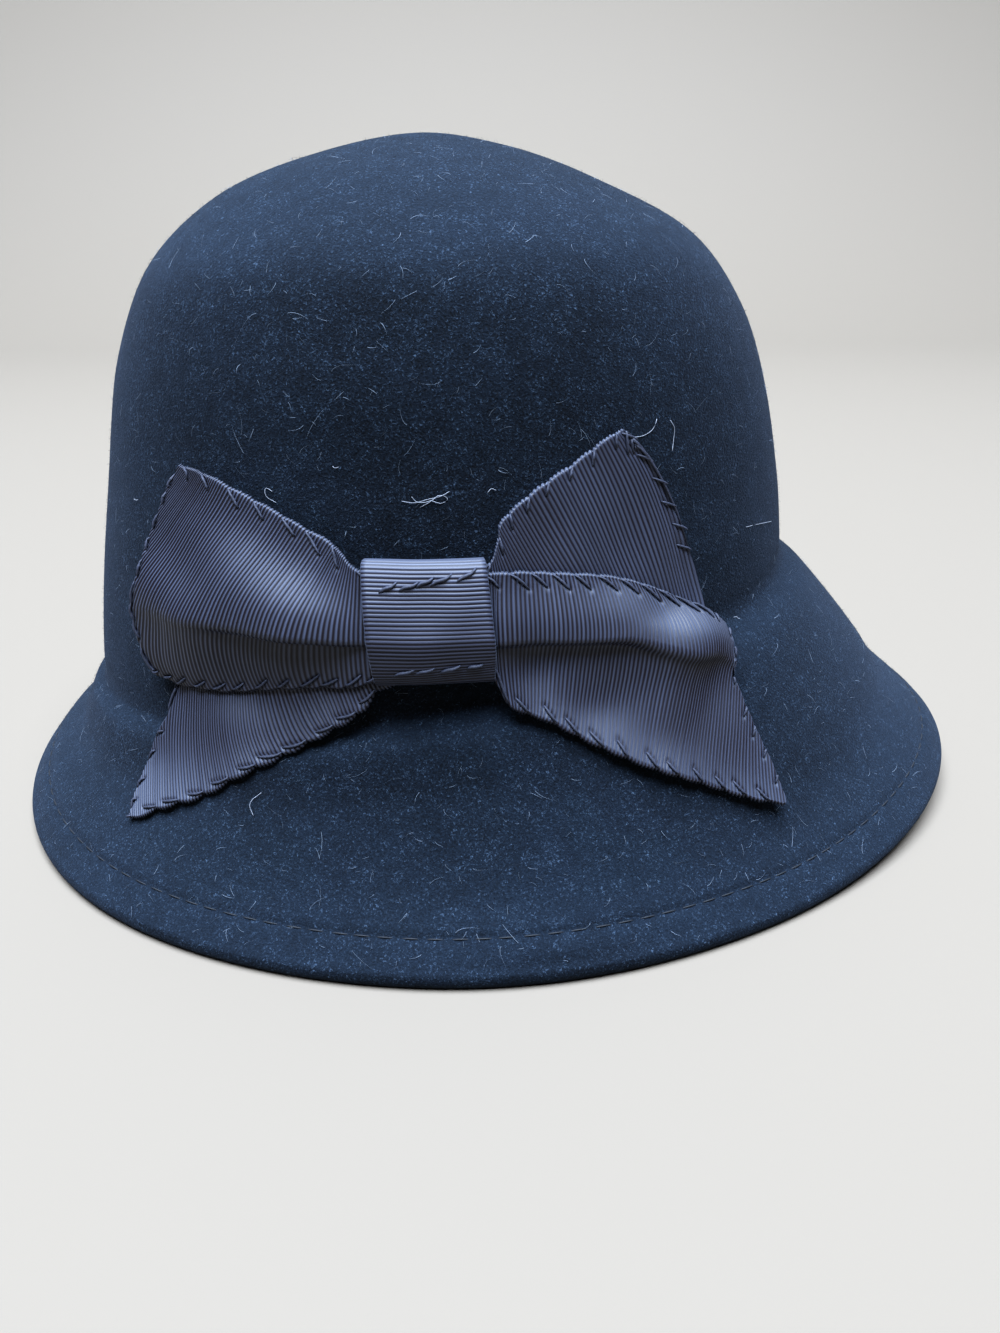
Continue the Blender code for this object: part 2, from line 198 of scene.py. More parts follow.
def brushedWoolFelt():
    # Brushed wool felt: dyed blue-black, matt, with a short nap that glows at grazing angles
    # and paler fibres lying in it every way
    look = feltLook
    material, tree, shader = newMaterial("brushed wool felt")
    place = addNode(tree, "ShaderNodeTexCoord").outputs["Object"]
    grain = addNode(tree, "ShaderNodeTexNoise", None,
                    {"Vector": place, "Scale": 1000 / look["grainMm"], "Detail": 2.0, "Roughness": 0.7})
    clump = addNode(tree, "ShaderNodeTexNoise", None,
                    {"Vector": place, "Scale": 1000 / look["clumpMm"], "Detail": 3.0, "Roughness": 0.6})
    mottle = addNode(tree, "ShaderNodeTexNoise", None,
                     {"Vector": place, "Scale": 1000 / look["mottleMm"], "Detail": 2.0, "Roughness": 0.5})
    patches = addNode(tree, "ShaderNodeMath", {"operation": "ADD"},
                      {0: mottle.outputs["Fac"], 1: clump.outputs["Fac"]})
    share = addNode(tree, "ShaderNodeMath", {"operation": "MULTIPLY_ADD"},
                    {0: patches.outputs[0], 1: 0.26, 2: grain.outputs["Fac"]})
    ramp = addNode(tree, "ShaderNodeMapRange", None,
                   {"Value": share.outputs[0], "From Min": 0.58, "From Max": 0.94})
    cloth = addNode(tree, "ShaderNodeMix", {"data_type": "RGBA"},
                    {"Factor": ramp.outputs["Result"], "A": linearColor(look["deep"]), "B": linearColor(look["middle"])})
    # Pale bits: the peaks of a twisted noise, denser where the clumps are
    bits = addNode(tree, "ShaderNodeTexNoise", None,
                   {"Vector": place, "Scale": 1000 / look["fleckMm"], "Detail": 2.0, "Distortion": 1.2})
    dense = addNode(tree, "ShaderNodeMath", {"operation": "MULTIPLY_ADD"},
                    {0: clump.outputs["Fac"], 1: 0.2, 2: bits.outputs["Fac"]})
    hair = addNode(tree, "ShaderNodeMapRange", None,
                   {"Value": dense.outputs[0], "From Min": 0.70, "From Max": 0.92, "To Max": 0.5})
    pale = addNode(tree, "ShaderNodeMix", {"data_type": "RGBA"},
                   {"Factor": hair.outputs["Result"], "A": cloth.outputs["Result"], "B": linearColor(look["fleck"])})
    # Felt that faces up is painted paler: painted light from above
    tree.links.new(paintTopLight(tree, pale.outputs["Result"], look["topLightColor"], look["topLightMost"]), shader.inputs["Base Color"])
    height = addNode(tree, "ShaderNodeMath", {"operation": "MULTIPLY_ADD"},
                     {0: bits.outputs["Fac"], 1: 1.2, 2: grain.outputs["Fac"]})
    bump = addNode(tree, "ShaderNodeBump", None,
                   {"Height": height.outputs[0], "Strength": 0.6, "Distance": 0.35 * mm})
    tree.links.new(bump.outputs["Normal"], shader.inputs["Normal"])
    shader.inputs["Roughness"].default_value = 0.95
    shader.inputs["Specular IOR Level"].default_value = 0.12
    shader.inputs["Sheen Weight"].default_value = 0.1
    shader.inputs["Sheen Roughness"].default_value = 0.5
    shader.inputs["Sheen Tint"].default_value = linearColor("#94a8c6")
    return material


# The groove colour is painted shade in the hollows between ribs; the pale colour for ribbon that faces up, and its
# largest share, are painted light from above
ribbonLook = dict(
    ridge="#404656", paintedGrooveShade="#110a10", topLightColor="#8e9cb2", topLightMost=0.08,
    ribMm=0.90, warpMm=0.28,
)


def ribbedGrosgrain(name, ridge):
    # Grosgrain of dyed viscose: close ribs across the ribbon, rounded and a little silky; the grooves between them are
    # painted darker as painted shade, and fine threads run over the ribs
    look = ribbonLook
    material, tree, shader = newMaterial(name)
    cloth = addNode(tree, "ShaderNodeUVMap", {"uv_map": "cloth"}).outputs["UV"]
    axes = addNode(tree, "ShaderNodeSeparateXYZ", None, {"Vector": cloth})
    turns = addNode(tree, "ShaderNodeMath", {"operation": "DIVIDE"}, {0: axes.outputs["X"], 1: look["ribMm"] * mm})
    wave = addNode(tree, "ShaderNodeMath", {"operation": "PINGPONG"}, {0: turns.outputs[0], 1: 0.5})
    # Share of the rib's own colour: 0 in the groove, which gets the painted shade colour, and 1 on the rib's top
    crest = addNode(tree, "ShaderNodeMapRange", {"interpolation_type": "SMOOTHSTEP"},
                    {"Value": wave.outputs[0], "From Min": 0.08, "From Max": 0.42})
    tone = addNode(tree, "ShaderNodeTexNoise", {"noise_dimensions": "1D"}, {"W": turns.outputs[0], "Scale": 0.9})
    vary = addNode(tree, "ShaderNodeMapRange", None,
                   {"Value": tone.outputs["Fac"], "From Min": 0.3, "From Max": 0.7, "To Min": 0.75, "To Max": 1.0})
    share = addNode(tree, "ShaderNodeMath", {"operation": "MULTIPLY"},
                    {0: crest.outputs["Result"], 1: vary.outputs["Result"]})
    color = addNode(tree, "ShaderNodeMix", {"data_type": "RGBA"},
                    {"Factor": share.outputs[0], "A": linearColor(look["paintedGrooveShade"]), "B": linearColor(ridge)})
    # Ribbon that faces up is painted paler: painted light from above
    tree.links.new(paintTopLight(tree, color.outputs["Result"], look["topLightColor"], look["topLightMost"]), shader.inputs["Base Color"])
    threads = addNode(tree, "ShaderNodeMath", {"operation": "DIVIDE"}, {0: axes.outputs["Y"], 1: look["warpMm"] * mm})
    warp = addNode(tree, "ShaderNodeMath", {"operation": "PINGPONG"}, {0: threads.outputs[0], 1: 0.5})
    bump = addNode(tree, "ShaderNodeBump", None,
                   {"Height": warp.outputs[0], "Strength": 0.3, "Distance": 0.06 * mm})
    tree.links.new(bump.outputs["Normal"], shader.inputs["Normal"])
    shader.inputs["Roughness"].default_value = 0.5
    shader.inputs["Specular IOR Level"].default_value = 0.32
    shader.inputs["Sheen Weight"].default_value = 0.08
    shader.inputs["Sheen Roughness"].default_value = 0.4
    shader.inputs["Sheen Tint"].default_value = linearColor("#b4c4e0")
    return material


def sewingThread(name, color):
    # Twisted polyester thread: matt, with a fine slanting twist
    material, tree, shader = newMaterial(name)
    place = addNode(tree, "ShaderNodeTexCoord").outputs["Object"]
    twist = addNode(tree, "ShaderNodeTexNoise", None, {"Vector": place, "Scale": 1000 / 0.4, "Detail": 1.0})
    tint = addNode(tree, "ShaderNodeMapRange", None,
                   {"Value": twist.outputs["Fac"], "From Min": 0.3, "From Max": 0.7})
    dark = tuple(0.45 * channel for channel in linearColor(color)[:3]) + (1.0,)
    shade = addNode(tree, "ShaderNodeMix", {"data_type": "RGBA"},
                    {"Factor": tint.outputs["Result"], "A": dark, "B": linearColor(color)})
    tree.links.new(shade.outputs["Result"], shader.inputs["Base Color"])
    shader.inputs["Roughness"].default_value = 0.7
    return material


def looseFibre(name, color):
    # Single wool fibres that stand out of the nap: pale, matt, lit on both sides
    material, tree, shader = newMaterial(name)
    place = addNode(tree, "ShaderNodeTexCoord").outputs["Object"]
    patch = addNode(tree, "ShaderNodeTexNoise", None, {"Vector": place, "Scale": 1000 / 6.0, "Detail": 2.0})
    dark = tuple(0.35 * channel for channel in linearColor(color)[:3]) + (1.0,)
    shade = addNode(tree, "ShaderNodeMix", {"data_type": "RGBA"},
                    {"Factor": patch.outputs["Fac"], "A": dark, "B": linearColor(color)})
    tree.links.new(shade.outputs["Result"], shader.inputs["Base Color"])
    shader.inputs["Roughness"].default_value = 0.9
    return material


# Felt body

hat = dict(
    crownHalfLength=101.5, crownHalfWidth=84.5, height=173.3, turnHeight=49.1, turnRise=16.5,
    frontBrim=53.7, sideBrim=37.2, backBrim=22.2, frontCorner=-6.0, backCorner=4.1, sideSweep=8.3,
    frontLift=6.5, backLift=1.8, liftStart=0.62,
    feltThickness=2.5, hemThickness=5.0, hemDepth=12.0, hemStep=1.2,
    columns=420, brimRings=44, hemRings=14, stitchRings=3, dentMm=0.22, seamMm=0.3,
)
crownMiddle = (hat["backBrim"] - hat["frontBrim"]) / 2

# Crown from its top to the turn: height, and reach to the front and back, as shares
crownRows = [
    dict(height=1.00, front=0.000, back=0.000, samples=10),
    dict(height=0.97, front=0.215, back=0.255, samples=12),
    dict(height=0.90, front=0.440, back=0.525, samples=14),
    dict(height=0.78, front=0.693, back=0.720, samples=14),
    dict(height=0.62, front=0.826, back=0.825, samples=14),
    dict(height=0.42, front=0.909, back=0.891, samples=12),
    dict(height=0.20, front=0.967, back=0.955, samples=8),
    dict(height=0.05, front=0.992, back=0.989, samples=4),
    dict(height=0.00, front=1.000, back=1.000, samples=0),
]
# Brim from the turn to its edge: shares of its reach (out) and of its fall (drop)
brimRows = [
    dict(frontOut=0.15, frontDrop=0.12, sideOut=0.15, sideDrop=0.12, backOut=0.15, backDrop=0.12),
    dict(frontOut=0.52, frontDrop=0.54, sideOut=0.35, sideDrop=0.39, backOut=0.32, backDrop=0.42),
    dict(frontOut=0.65, frontDrop=0.71, sideOut=0.70, sideDrop=0.77, backOut=0.74, backDrop=0.74),
    dict(frontOut=1.00, frontDrop=1.00, sideOut=1.00, sideDrop=1.00, backOut=1.00, backDrop=1.00),
]
hemFlat = -65   # direction round the hem's edge, in degrees above level, of the flat it rests on


def hatPlan():
    # Cosine and sine of each column's angle, and the oval's outward direction there
    angle = np.linspace(0, 2 * math.pi, hat["columns"], endpoint=False)
    cosine, sine = np.cos(angle), np.sin(angle)
    outward = unit(np.stack([cosine / hat["crownHalfLength"], sine / hat["crownHalfWidth"]], -1))
    return cosine, sine, outward


def brimEdge(cosine, sine):
    # Reach of the edge past the turn, and its height: blends of front, side and back by squares of
    # cosine and sine, with a term that peaks half way between them
    ahead = cosine > 0
    reach = (hat["sideBrim"] + hat["sideSweep"] * cosine) * sine ** 2
    reach += np.where(ahead, hat["frontBrim"], hat["backBrim"]) * cosine ** 2
    reach += np.where(ahead, hat["frontCorner"], hat["backCorner"]) * (2 * sine * cosine) ** 2
    rise = np.clip((np.abs(cosine) - hat["liftStart"]) / (1 - hat["liftStart"]), 0, 1) ** 2
    return reach, np.where(ahead, hat["frontLift"], hat["backLift"]) * rise


def hemPoint(direction, reach, lift):
    radius = hat["hemThickness"] / 2
    out = reach - radius + radius * math.cos(math.radians(direction))
    return out, lift + radius * (math.sin(math.radians(direction)) - math.sin(math.radians(hemFlat)))


def brimPoint(out, up, plan):
    cosine, sine, outward = plan
    return np.stack([crownMiddle + hat["crownHalfLength"] * cosine + out * outward[:, 0],
                     hat["crownHalfWidth"] * sine + out * outward[:, 1], up + 0 * cosine], -1)


def feltSkin(plan):
    # Outer skin as rings x columns, in mm: smooth curves down each meridian through the section rows
    cosine, sine, outward = plan
    turn = hat["turnHeight"] + hat["turnRise"] * cosine
    forward = 0.5 + 0.5 * cosine
    rows = []
    for row in crownRows:
        reach = row["front"] * forward + row["back"] * (1 - forward)
        rows.append(np.stack([crownMiddle + reach * hat["crownHalfLength"] * cosine,
                              reach * hat["crownHalfWidth"] * sine,
                              turn + row["height"] * (hat["height"] - turn)], -1))
    shares = (("front", np.clip(cosine, 0, 1) ** 2), ("side", sine ** 2), ("back", np.clip(-cosine, 0, 1) ** 2))
    reach, lift = brimEdge(cosine, sine)
    edgeOut, edgeUp = hemPoint(52, reach, lift)
    for row in brimRows:
        out = sum(row[side + "Out"] * share for side, share in shares)
        drop = sum(row[side + "Drop"] * share for side, share in shares)
        rows.append(brimPoint(out * edgeOut, turn - drop * (turn - edgeUp), plan))
    last = len(crownRows) - 1
    crown = curveThrough(rows[:last + 1], np.roll(rows[1], hat["columns"] // 2, axis=0), rows[last + 1],
                         [row["samples"] for row in crownRows[:-1]])
    brim = curveThrough(rows[last:], rows[last - 1], 2 * rows[-1] - rows[-2], [24] * len(brimRows))
    return np.concatenate([crown, evenRings(brim)])


def evenRings(fine):
    # The brim's rings by distance down each meridian: even to the hem, then even across the hem
    steps = np.linalg.norm(np.diff(fine, axis=0), axis=-1)
    travelled = np.concatenate([np.zeros((1, fine.shape[1])), np.cumsum(steps, axis=0)])
    hemLength = hat["hemDepth"] - hat["hemThickness"] / 2
    columns = []
    for distance, line in zip(travelled.T, fine.swapaxes(0, 1)):
        hemStart = distance[-1] - hemLength
        stops = np.concatenate([np.linspace(0, hemStart, hat["brimRings"] + 1)[1:],
                                np.linspace(hemStart, distance[-1], hat["hemRings"] + 1)[1:]])
        columns.append(np.stack([np.interp(stops, distance, line[:, axis]) for axis in range(3)], -1))
    return np.stack(columns, 1)


def makeFelt(material):
    # One closed wall: outer skin, round the hem's edge, and back up inside
    plan = hatPlan()
    skin = feltSkin(plan)
    normals = gridNormals(skin, closedRound=True)
    normals[0] = (0, 0, 1)
    ringCount = len(skin)
    hemStart = ringCount - 1 - hat["hemRings"]
    # Blocking leaves soft dents; they fade at the top pole and at the hem's edge
    fade = smoothStep(np.arange(ringCount) / 12)[:, None] * smoothStep((ringCount - 1 - np.arange(ringCount)) / 6)[:, None]
    dents = hat["dentMm"] * fade * (softNoise(skin, 80, 3) + 0.4 * softNoise(skin, 35, 4))
    # The hem's seam pulls a shallow groove into the felt
    seamRing = hemStart + hat["stitchRings"]
    fromSeam = np.abs(np.arange(ringCount) - seamRing)[:, None] * hat["hemDepth"] / hat["hemRings"]
    seam = -hat["seamMm"] * np.exp(-(fromSeam / 1.3) ** 2)
    surface = skin + (dents + seam)[..., None] * normals
    reach, lift = brimEdge(plan[0], plan[1])
    hem = [brimPoint(*hemPoint(direction, reach, lift), plan) for direction in (38, 24, 10, -4, -17, -30, -42, -54, -65, -115)]
    inHem = range(ringCount - 2, hemStart - 1, -2)
    innerHem = [skin[i] - hat["hemThickness"] * normals[i] for i in inHem]
    upSlope = unit(skin[hemStart - 1] - skin[hemStart])
    step = skin[hemStart] + hat["hemStep"] * upSlope - hat["feltThickness"] * normals[hemStart]
    inner = [skin[i] - hat["feltThickness"] * normals[i] for i in range(hemStart - 3, 0, -4)]
    rings = np.array([*surface[1:], *hem, *innerHem, step, *inner])
    count = rings.shape[0] * rings.shape[1]
    top = surface[0, 0]
    points = np.concatenate([rings.reshape(-1, 3), [top, top - (0, 0, hat["feltThickness"])]])
    faces = gridQuads(rings.shape[0], rings.shape[1], True).tolist()
    here = np.arange(hat["columns"])
    beside = (here + 1) % hat["columns"]
    final = (rings.shape[0] - 1) * hat["columns"]
    faces += np.stack([here, beside, np.full_like(here, count)], -1).tolist()
    faces += np.stack([final + beside, final + here, np.full_like(here, count + 1)], -1).tolist()
    piece = makePiece("felt_surface", points * mm, faces, material)
    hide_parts("felt_body")
    return surface, gridNormals(surface, closedRound=True), seamRing


print("making the felt")
felt = brushedWoolFelt()
skin, skinNormals, seamRing = makeFelt(felt)


# Bow

bow = dict(
    knotX=-12.6, knotZ=71.6, knotWidth=25.5, knotHeight=28.2, knotDepth=6.8, knotLean=2.0,
    reach=84.0, width=52.0, thickness=0.7, puff=7.0, looseness=0.95, bridge=8.5,
    ribSamples=5, columns=56, crowding=0.35, ribHeight=0.2, overhang=4.0,
    crest=0.46, spots=(-66, -50, -36, -20, 0, 15, 38, 54, 75), fall=(1.1, 1.2, 1.3, 1.4, 1.6, 4.0, 3.2, 2.2, 1.6),
    step=(0.0, 0.08, 0.45, 0.65, 0.65, 0.5, 0.45, 0.12, 0.05),
)

knotBand = dict(ribs=72, columns=26, offFelt=0.35, roof=3.2, roofAt=-2.6)

# Rib lines of the two strips, each from the upper edge over the fold to the lower edge.
# x is a share of the bow's reach and z of the ribbon's width, both from the knot's middle.
# Those past a cut end are there to guide the ribs beside it. The under strip's upper edge behind the knot
# and its lower edge before it are hidden by the upper strip, and are a guess.
upperRibs = [
    dict(topX=-0.683, topZ=0.585, midX=-1.045, midZ=-0.225, lowX=-1.147, lowZ=-0.705, puff=0.70),
    dict(topX=-0.558, topZ=0.543, midX=-0.784, midZ=-0.103, lowX=-0.828, lowZ=-0.455, puff=0.85),
    dict(topX=-0.479, topZ=0.494, midX=-0.676, midZ=-0.090, lowX=-0.709, lowZ=-0.409, puff=0.98),
    dict(topX=-0.396, topZ=0.435, midX=-0.563, midZ=-0.071, lowX=-0.585, lowZ=-0.389, puff=1.02),
    dict(topX=-0.314, topZ=0.373, midX=-0.458, midZ=-0.060, lowX=-0.472, lowZ=-0.348, puff=0.98),
    dict(topX=-0.248, topZ=0.325, midX=-0.377, midZ=-0.063, lowX=-0.388, lowZ=-0.320, puff=0.88),
    dict(topX=-0.219, topZ=0.281, midX=-0.293, midZ=-0.064, lowX=-0.298, lowZ=-0.296, puff=0.70),
    dict(topX=-0.199, topZ=0.241, midX=-0.230, midZ=-0.071, lowX=-0.231, lowZ=-0.288, puff=0.50),
    dict(topX=-0.167, topZ=0.221, midX=-0.173, midZ=-0.080, lowX=-0.169, lowZ=-0.260, puff=0.28),
    dict(topX=0.000, topZ=0.190, midX=0.000, midZ=-0.070, lowX=0.000, lowZ=-0.190, puff=0.08),
    dict(topX=0.155, topZ=0.207, midX=0.158, midZ=-0.098, lowX=0.162, lowZ=-0.261, puff=0.20),
    dict(topX=0.178, topZ=0.206, midX=0.176, midZ=-0.095, lowX=0.197, lowZ=-0.357, puff=0.30),
    dict(topX=0.239, topZ=0.200, midX=0.238, midZ=-0.098, lowX=0.243, lowZ=-0.398, puff=0.42),
    dict(topX=0.319, topZ=0.185, midX=0.325, midZ=-0.111, lowX=0.305, lowZ=-0.441, puff=0.52),
    dict(topX=0.400, topZ=0.168, midX=0.413, midZ=-0.129, lowX=0.387, lowZ=-0.511, puff=0.62),
    dict(topX=0.484, topZ=0.138, midX=0.501, midZ=-0.160, lowX=0.473, lowZ=-0.583, puff=0.75),
    dict(topX=0.571, topZ=0.085, midX=0.600, midZ=-0.237, lowX=0.563, lowZ=-0.656, puff=0.88),
    dict(topX=0.657, topZ=0.009, midX=0.692, midZ=-0.297, lowX=0.649, lowZ=-0.717, puff=0.95),
    dict(topX=0.762, topZ=-0.102, midX=0.771, midZ=-0.325, lowX=0.744, lowZ=-0.780, puff=0.80),
    dict(topX=0.849, topZ=-0.192, midX=0.851, midZ=-0.421, lowX=0.842, lowZ=-0.853, puff=0.45),
    dict(topX=0.927, topZ=-0.271, midX=0.930, midZ=-0.529, lowX=0.947, lowZ=-0.928, puff=0.20),
    dict(topX=1.011, topZ=-0.363, midX=1.011, midZ=-0.661, lowX=1.045, lowZ=-0.999, puff=0.10),
]
underRibs = [
    dict(topX=-0.959, topZ=-0.369, midX=-0.958, midZ=-0.747, lowX=-0.916, lowZ=-1.027, puff=0.0),
    dict(topX=-0.800, topZ=-0.211, midX=-0.838, midZ=-0.640, lowX=-0.815, lowZ=-0.943, puff=0.0),
    dict(topX=-0.651, topZ=-0.088, midX=-0.687, midZ=-0.522, lowX=-0.672, lowZ=-0.840, puff=0.0),
    dict(topX=-0.535, topZ=0.106, midX=-0.579, midZ=-0.390, lowX=-0.542, lowZ=-0.720, puff=0.0),
    dict(topX=-0.434, topZ=0.246, midX=-0.489, midZ=-0.284, lowX=-0.431, lowZ=-0.619, puff=0.0),
    dict(topX=-0.367, topZ=0.257, midX=-0.388, midZ=-0.228, lowX=-0.315, lowZ=-0.511, puff=0.0),
    dict(topX=-0.279, topZ=0.223, midX=-0.307, midZ=-0.129, lowX=-0.248, lowZ=-0.448, puff=0.0),
    dict(topX=-0.214, topZ=0.188, midX=-0.238, midZ=-0.070, lowX=-0.187, lowZ=-0.385, puff=0.0),
    dict(topX=-0.165, topZ=0.183, midX=-0.178, midZ=-0.059, lowX=-0.145, lowZ=-0.298, puff=0.0),
    dict(topX=0.000, topZ=0.190, midX=0.000, midZ=0.010, lowX=0.000, lowZ=-0.180, puff=0.0),
    dict(topX=0.150, topZ=0.240, midX=0.156, midZ=0.110, lowX=0.164, lowZ=-0.073, puff=0.0),
    dict(topX=0.176, topZ=0.325, midX=0.216, midZ=0.162, lowX=0.287, lowZ=-0.117, puff=0.0),
    dict(topX=0.187, topZ=0.407, midX=0.268, midZ=0.173, lowX=0.382, lowZ=-0.155, puff=0.0),
    dict(topX=0.240, topZ=0.484, midX=0.354, midZ=0.172, lowX=0.475, lowZ=-0.169, puff=0.0),
    dict(topX=0.309, topZ=0.559, midX=0.432, midZ=0.180, lowX=0.536, lowZ=-0.240, puff=0.0),
    dict(topX=0.373, topZ=0.616, midX=0.492, midZ=0.206, lowX=0.604, lowZ=-0.279, puff=0.0),
    dict(topX=0.432, topZ=0.677, midX=0.549, midZ=0.259, lowX=0.659, lowZ=-0.271, puff=0.0),
    dict(topX=0.481, topZ=0.727, midX=0.609, midZ=0.321, lowX=0.700, lowZ=-0.211, puff=0.0),
    dict(topX=0.522, topZ=0.761, midX=0.643, midZ=0.416, lowX=0.740, lowZ=-0.110, puff=0.0),
    dict(topX=0.565, topZ=0.794, midX=0.698, midZ=0.431, lowX=0.808, lowZ=-0.120, puff=0.0),
]
# Cut ends, from their upper to their lower corner, in the same shares
upperCuts = dict(
    back=dict(x=[-0.681, -0.717, -0.737, -0.766, -0.782, -0.815, -0.827, -0.824, -0.821, -0.754],
              z=[0.588, 0.486, 0.385, 0.253, 0.114, -0.046, -0.159, -0.277, -0.383, -0.419]),
    front=dict(x=[0.762, 0.815, 0.825, 0.805, 0.812, 0.836, 0.870, 0.924, 0.962, 0.996],
               z=[-0.102, -0.190, -0.240, -0.300, -0.390, -0.430, -0.539, -0.696, -0.815, -0.937]),
)
underCuts = dict(
    back=dict(x=[-0.640, -0.700, -0.770, -0.797, -0.834, -0.867, -0.900, -0.916],
              z=[-0.080, -0.260, -0.450, -0.600, -0.686, -0.807, -0.920, -1.027]),
    front=dict(x=[0.514, 0.566, 0.590, 0.626, 0.652, 0.691, 0.706, 0.720, 0.730, 0.764],
               z=[0.758, 0.651, 0.597, 0.514, 0.414, 0.298, 0.196, 0.128, 0.032, -0.105]),
)

mapStep = 0.5
mapX = np.arange(-125, 95, mapStep)
mapZ = np.arange(4, 130, mapStep)


def feltMap(skin):
    # Y of the hat's right side over X and Z in mm: each meridian read at every height, then each height
    # at every X. A stiff ribbon spans the hollow at the crown's turn.
    half = hat["columns"] // 2
    side = skin[:, half:].swapaxes(0, 1)
    readings = np.array([[np.interp(mapZ, line[::-1, 2], line[::-1, axis]) for axis in (0, 1)] for line in side])
    depth = np.array([np.interp(mapX, readings[:, 0, k], readings[:, 1, k]) for k in range(len(mapZ))])
    shift = int(bow["bridge"] / mapStep)
    padded = np.pad(depth, ((shift, shift), (0, 0)), mode="edge")
    spanned = np.minimum(depth, (padded[2 * shift:] + padded[:-2 * shift]) / 2)
    kernel = np.hanning(33) / np.hanning(33).sum()
    for axis in (0, 1):
        padded = np.pad(spanned, [(16, 16) if a == axis else (0, 0) for a in (0, 1)], mode="edge")
        spanned = np.apply_along_axis(lambda line: np.convolve(line, kernel, mode="valid"), axis, padded)
    slopeZ, slopeX = np.gradient(spanned, mapStep)
    outward = unit(np.stack([slopeX, np.full_like(slopeX, -1), slopeZ], -1))
    return np.concatenate([spanned[..., None], outward], -1)


bowMap = feltMap(skin)


def onFelt(along, up, lift):
    # Point beside the knot's middle, lifted off the felt along its normal, in mm
    x, z = bow["knotX"] + along, bow["knotZ"] + up
    reading = readGrid(bowMap, (z - mapZ[0]) / mapStep, (x - mapX[0]) / mapStep)
    return np.stack([x, reading[..., 0], z], -1) + lift[..., None] * reading[..., 1:]


def ribRows(table):
    # The table as evenly spaced rows, ribSamples to a rib: top, mid and low points, and puff, in mm
    names = ["topX", "topZ", "midX", "midZ", "lowX", "lowZ", "puff"]
    rows = np.array([[row[name] for name in names] for row in table])
    rows[:, 0:6:2] *= bow["reach"]
    rows[:, 1:6:2] *= bow["width"]
    rows[:, 6] *= bow["puff"]
    fine = curveThrough(rows, 2 * rows[0] - rows[1], 2 * rows[-1] - rows[-2], [40] * (len(rows) - 1))
    middle = (fine[:, 0:2] + fine[:, 2:4] + fine[:, 4:6]) / 3
    distance = np.concatenate([[0], np.cumsum(np.linalg.norm(np.diff(middle, axis=0), axis=1))])
    ribs = int(distance[-1] / ribbonLook["ribMm"])
    stops = np.arange(ribs * bow["ribSamples"] + 1) / (ribs * bow["ribSamples"]) * distance[-1]
    return np.stack([np.interp(stops, distance, fine[:, i]) for i in range(7)], -1), stops


def ribPoint(rows, t):
    # Place along each rib line: the parabola through its top (t = 0), mid (t = 0.5) and low (t = 1) points
    top, mid, low = (1 - t) * (1 - 2 * t), 4 * t * (1 - t), t * (2 * t - 1)
    column = [rows[:, i].reshape(-1, *[1] * (t.ndim - 1)) for i in range(6)]
    return top * column[0] + mid * column[2] + low * column[4], top * column[1] + mid * column[3] + low * column[5]


def trimmed(rows, cuts):
    # Share of each rib line inside the cut ends: from its first to its last point within them
    t = np.linspace(0, 1, 201)[None] + np.zeros((len(rows), 1))
    along, up = ribPoint(rows, t)
    x, z = along / bow["reach"], up / bow["width"]
    back = np.interp(-z, -np.array(cuts["back"]["z"]), cuts["back"]["x"])
    front = np.interp(-z, -np.array(cuts["front"]["z"]), cuts["front"]["x"])
    inside = (x >= back) & (x <= front)
    kept = inside.any(axis=1)
    first = np.argmax(inside, axis=1)[kept] / 200
    last = 1 - np.argmax(inside[:, ::-1], axis=1)[kept] / 200
    # A running mean keeps the corners of the cuts from jumping between ribs
    kernel = np.full(9, 1 / 9)
    first, last = [np.convolve(np.pad(end, 4, mode="edge"), kernel, mode="valid") for end in (first, last)]
    return kept, first, last


def ribProfile(rowCount, seed):
    # Round ribs of uneven height: one minus a power of the distance from the rib's middle line
    index, part = np.divmod(np.arange(rowCount), bow["ribSamples"])
    height = np.random.default_rng(seed).uniform(0.65, 1.15, index[-1] + 1)[index]
    return height * (1 - np.abs(2 * part / bow["ribSamples"] - 1) ** 2.2)


def pleat(t, along, puff):
    # Rise from the upper edge to a crest, a step down under the fold that fades away from the knot, and a fall
    # to the lower edge that is slow behind the knot and quick before it; and how far the crest hangs over
    crest = bow["crest"]
    fall = np.interp(along, bow["spots"], bow["fall"])
    step = np.interp(along, bow["spots"], bow["step"])
    above = np.sin(math.pi / 2 * np.clip(t / crest, 0, 1) ** 1.4)
    below = np.clip((1 - t) / (1 - crest), 0, 1) ** fall * (1 - step * smoothStep((t - crest) / 0.06))
    sag = np.exp(-(np.clip(crest - t, 0, 1) / 0.08) ** 2 - (np.clip(t - crest, 0, 1) / 0.03) ** 2)
    return puff * np.where(t < crest, above, below), sag * step * bow["overhang"] * puff / bow["puff"]


def overKnotBack(along):
    # The ribbons stand off the felt where they pass over the back of the knot's band
    return 2.0 * (1 - smoothStep((np.abs(along) - bow["knotWidth"] / 2) / (bow["knotWidth"] / 2)))


